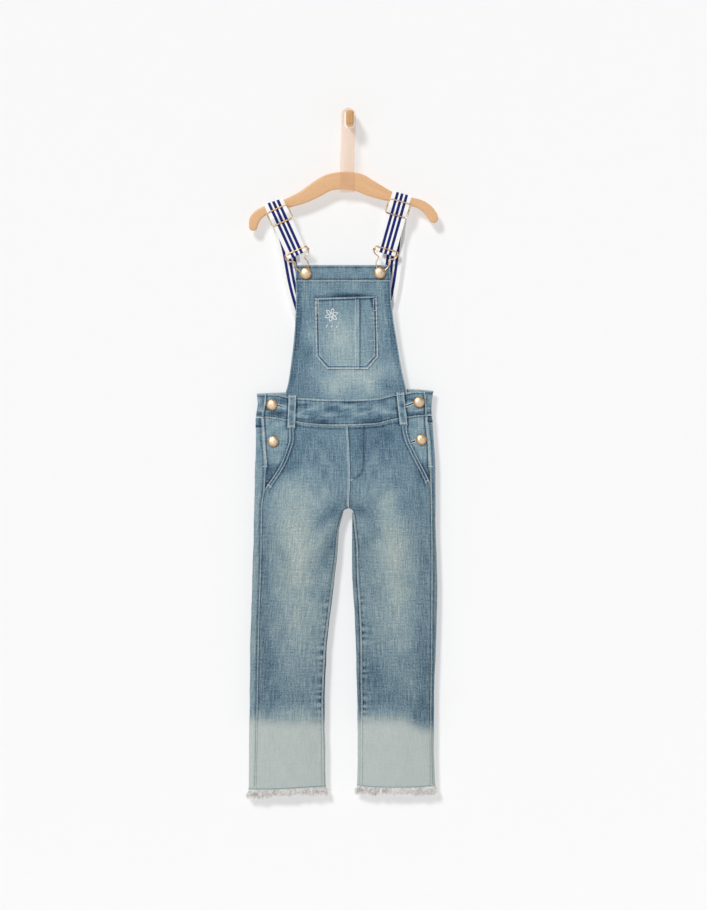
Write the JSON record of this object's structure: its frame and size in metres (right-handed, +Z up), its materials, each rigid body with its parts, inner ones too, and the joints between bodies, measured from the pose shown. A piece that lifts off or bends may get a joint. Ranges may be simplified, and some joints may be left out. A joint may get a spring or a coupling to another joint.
{
  "type": "cropped denim dungarees on a wooden hanger",
  "caption": "Child's cropped denim dungarees with bib, striped braces and frayed hems, hung flat on a wooden hanger by a clear strap from a wall peg.",
  "frame": {"origin": "middle of the wall peg's back face, which lies flat on the wall", "axes": "+Z up, +Y into the wall so that the garment's front faces -Y, +X to the wearer's left"},
  "size_m": [0.2878, 0.045, 1.0359],
  "materials": {
    "denim": "washed blue denim, dip-bleached at the hems",
    "webbing": "white woven webbing with navy stripes",
    "frayed_cotton": "loose off-white cotton threads",
    "brass": "brushed pale gold plating",
    "beech": "smooth oiled beech",
    "clear_elastomer": "translucent pale pink elastomer"
  },
  "bodies": {
    "root": {"back_left": "denim", "back_right": "denim", "belt_loop_back_left": "denim", "belt_loop_back_right": "denim", "belt_loop_front_left": "denim", "belt_loop_front_right": "denim", "bib": "denim", "bib_hem": "denim", "bib_pocket": "denim", "button_bib_left": "brass", "button_bib_right": "brass", "button_side_left": "brass", "button_side_right": "brass", "button_waist_left": "brass", "button_waist_right": "brass", "clip_left": "brass", "clip_right": "brass", "facing_left": "denim", "facing_right": "denim", "fringe_left": "frayed_cotton", "fringe_right": "frayed_cotton", "front_left": "denim", "front_right": "denim", "hanger": "beech", "hanger_loop": "clear_elastomer", "placket_left": "denim", "placket_right": "denim", "slider_left": "brass", "slider_right": "brass", "strap_left": "webbing", "strap_right": "webbing", "waistband_back": "denim", "waistband_front": "denim", "wall_peg": "beech", "yoke_left": "denim", "yoke_right": "denim"}
  },
  "joints": []
}
